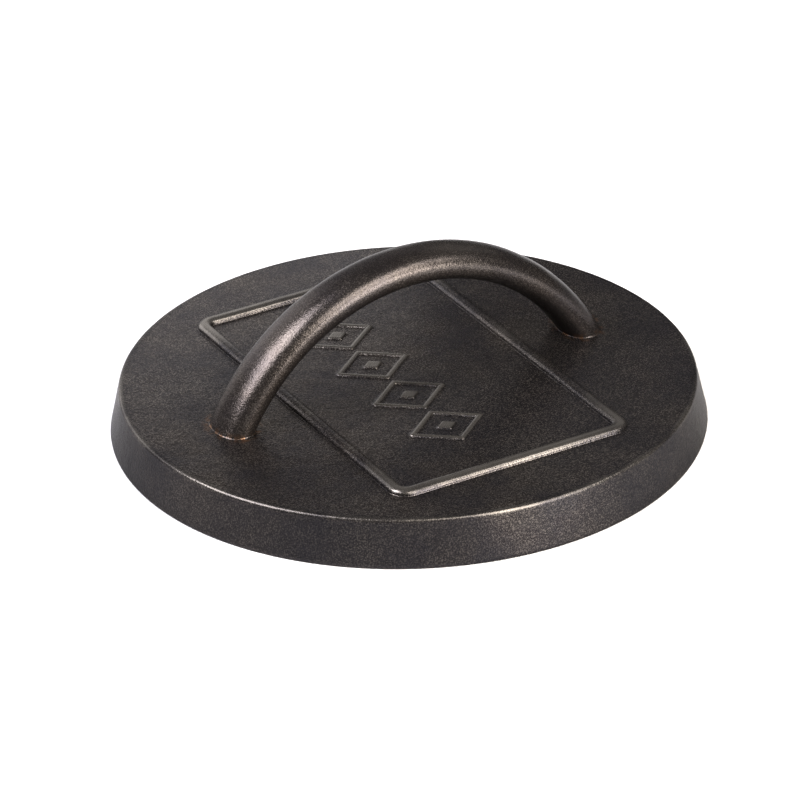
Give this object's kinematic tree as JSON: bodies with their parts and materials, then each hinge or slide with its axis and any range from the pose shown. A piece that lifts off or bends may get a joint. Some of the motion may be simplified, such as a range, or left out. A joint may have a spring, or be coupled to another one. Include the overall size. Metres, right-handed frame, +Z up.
{
  "type": "patty press",
  "caption": "Round cast-iron patty press: thick flat disc with a drafted wall, a raised rectangular border and lozenge relief on its back, and a bowed handle cast onto it.",
  "frame": {"origin": "centre of the flat pressing face, on that face", "axes": "+Z up, from the pressing face towards the handle; the handle's bow lies along X; Y runs across it"},
  "size_m": [0.1588, 0.1588, 0.0502],
  "materials": {
    "seasoned_iron": "near-black seasoned cast iron, satin, with a fine sandy grain and slightly lighter worn edges"
  },
  "bodies": {
    "root": {"press_plate": "seasoned_iron", "bow_handle": "seasoned_iron"}
  },
  "joints": []
}
